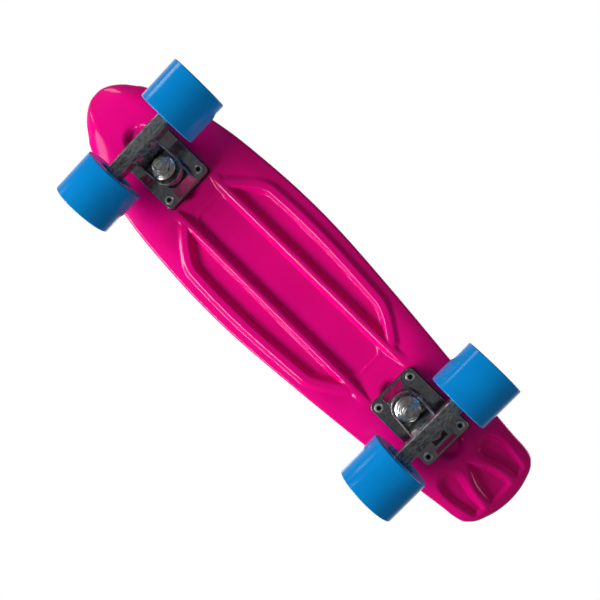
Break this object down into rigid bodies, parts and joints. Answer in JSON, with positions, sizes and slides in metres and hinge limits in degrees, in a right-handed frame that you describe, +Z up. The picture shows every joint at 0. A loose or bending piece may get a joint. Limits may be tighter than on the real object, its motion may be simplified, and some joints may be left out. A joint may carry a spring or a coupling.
{
  "type": "cruiser skateboard",
  "caption": "Small moulded-plastic cruiser skateboard with a kicked tail, ribbed underside, cast trucks that lean to steer and wide soft wheels on bearings.",
  "frame": {"origin": "on the floor under the middle of the deck's length, on the centre line", "axes": "+X towards the nose, +Y towards the rider's left, +Z up; the board stands on its wheels"},
  "size_m": [0.583, 0.1618, 0.1194],
  "materials": {
    "deck_plastic": "moulded magenta plastic with a soft sheen",
    "wheel_urethane": "smooth cast urethane, satin",
    "truck_metal": "cast and polished, dark bright metal",
    "zinc_steel": "bright zinc plating",
    "bearing_steel": "ground steel rings with pressed shields",
    "dark_steel": "dark oxide with a bright rubbed edge",
    "black_rubber": "matte black moulded rubber",
    "bushing_urethane": "satin black cast urethane"
  },
  "bodies": {
    "board": {"deck": "deck_plastic", "front_riser_pad": "black_rubber", "front_baseplate": "truck_metal", "front_pivot_cup": "black_rubber", "front_kingpin": "zinc_steel", "front_kingpin_nut": "zinc_steel", "front_upper_cup_washer": "zinc_steel", "front_lower_cup_washer": "zinc_steel", "front_upper_bushing": "bushing_urethane", "front_lower_bushing": "bushing_urethane", "front_mounting_screw_1": "dark_steel", "front_mounting_screw_2": "dark_steel", "front_mounting_screw_3": "dark_steel", "front_mounting_screw_4": "dark_steel", "rear_riser_pad": "black_rubber", "rear_baseplate": "truck_metal", "rear_pivot_cup": "black_rubber", "rear_kingpin": "zinc_steel", "rear_kingpin_nut": "zinc_steel", "rear_upper_cup_washer": "zinc_steel", "rear_lower_cup_washer": "zinc_steel", "rear_upper_bushing": "bushing_urethane", "rear_lower_bushing": "bushing_urethane", "rear_mounting_screw_1": "dark_steel", "rear_mounting_screw_2": "dark_steel", "rear_mounting_screw_3": "dark_steel", "rear_mounting_screw_4": "dark_steel"},
    "front_truck_hanger": {"front_hanger": "truck_metal", "front_axle": "zinc_steel", "front_left_bearing_spacer": "zinc_steel", "front_left_inner_washer": "zinc_steel", "front_left_outer_washer": "zinc_steel", "front_left_axle_nut": "zinc_steel", "front_right_bearing_spacer": "zinc_steel", "front_right_inner_washer": "zinc_steel", "front_right_outer_washer": "zinc_steel", "front_right_axle_nut": "zinc_steel"},
    "front_left_rolling_wheel": {"front_left_wheel": "wheel_urethane", "front_left_inner_bearing": "bearing_steel", "front_left_outer_bearing": "bearing_steel"},
    "front_right_rolling_wheel": {"front_right_wheel": "wheel_urethane", "front_right_inner_bearing": "bearing_steel", "front_right_outer_bearing": "bearing_steel"},
    "rear_truck_hanger": {"rear_hanger": "truck_metal", "rear_axle": "zinc_steel", "rear_left_bearing_spacer": "zinc_steel", "rear_left_inner_washer": "zinc_steel", "rear_left_outer_washer": "zinc_steel", "rear_left_axle_nut": "zinc_steel", "rear_right_bearing_spacer": "zinc_steel", "rear_right_inner_washer": "zinc_steel", "rear_right_outer_washer": "zinc_steel", "rear_right_axle_nut": "zinc_steel"},
    "rear_left_rolling_wheel": {"rear_left_wheel": "wheel_urethane", "rear_left_inner_bearing": "bearing_steel", "rear_left_outer_bearing": "bearing_steel"},
    "rear_right_rolling_wheel": {"rear_right_wheel": "wheel_urethane", "rear_right_inner_bearing": "bearing_steel", "rear_right_outer_bearing": "bearing_steel"}
  },
  "joints": [
    {"name": "front_steer", "type": "hinge", "parent": "board", "child": "front_truck_hanger", "pos_m": [0.1635, 0, 0.05031], "axis": [0.9367, 0, 0.3501], "range_deg": [-8, 8], "stiffness_Nm_per_rad": 40, "deforming": ["front_upper_bushing", "front_lower_bushing"]},
    {"name": "front_left_wheel_spin", "type": "hinge", "parent": "front_truck_hanger", "child": "front_left_rolling_wheel", "pos_m": [0.1905, 0.0579, 0.0308], "axis": [0, 1, 0], "continuous": true},
    {"name": "front_right_wheel_spin", "type": "hinge", "parent": "front_truck_hanger", "child": "front_right_rolling_wheel", "pos_m": [0.1905, -0.0579, 0.0308], "axis": [0, 1, 0], "continuous": true},
    {"name": "rear_steer", "type": "hinge", "parent": "board", "child": "rear_truck_hanger", "pos_m": [-0.1525, 0, 0.05031], "axis": [-0.9367, 0, 0.3501], "range_deg": [-8, 8], "stiffness_Nm_per_rad": 40, "deforming": ["rear_upper_bushing", "rear_lower_bushing"]},
    {"name": "rear_left_wheel_spin", "type": "hinge", "parent": "rear_truck_hanger", "child": "rear_left_rolling_wheel", "pos_m": [-0.1795, 0.0579, 0.0308], "axis": [0, 1, 0], "continuous": true},
    {"name": "rear_right_wheel_spin", "type": "hinge", "parent": "rear_truck_hanger", "child": "rear_right_rolling_wheel", "pos_m": [-0.1795, -0.0579, 0.0308], "axis": [0, 1, 0], "continuous": true}
  ]
}
